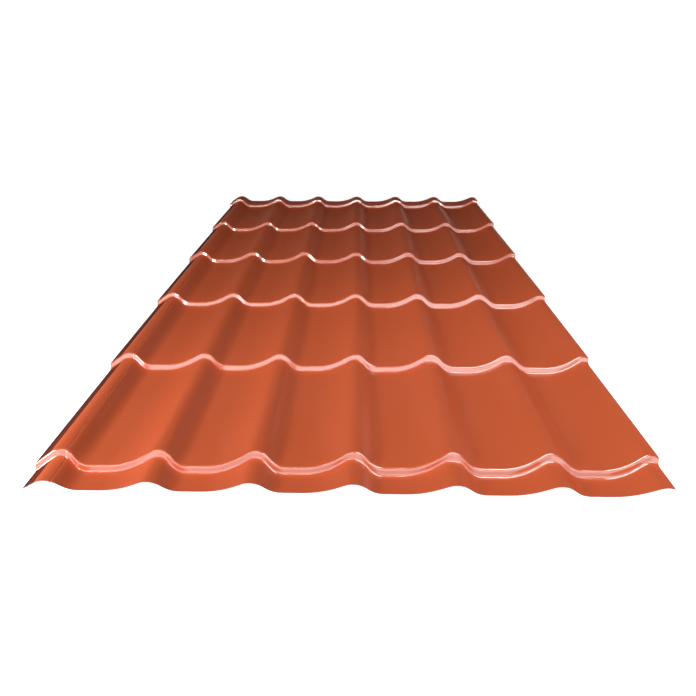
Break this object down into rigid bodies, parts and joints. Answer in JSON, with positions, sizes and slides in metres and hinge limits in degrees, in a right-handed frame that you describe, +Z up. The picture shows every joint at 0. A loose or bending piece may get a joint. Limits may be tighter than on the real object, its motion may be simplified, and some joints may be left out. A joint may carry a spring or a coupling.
{
  "type": "tile effect metal roofing sheet",
  "caption": "Thin coated steel roofing sheet with rounded waves running up the slope and pressed steps across it, so that it looks like rows of clay tiles.",
  "frame": {"origin": "middle of the sheet's outline, on the level floor that it lies on", "axes": "+Y up the slope of the roof, from the eaves edge to the ridge edge, +X to the right seen from the eaves, +Z up out of the weather face"},
  "size_m": [1.158, 1.877, 0.0356],
  "materials": {
    "coated_steel": "satin terracotta colour coat on galvanised steel"
  },
  "bodies": {
    "root": {"roofing_sheet": "coated_steel"}
  },
  "joints": []
}
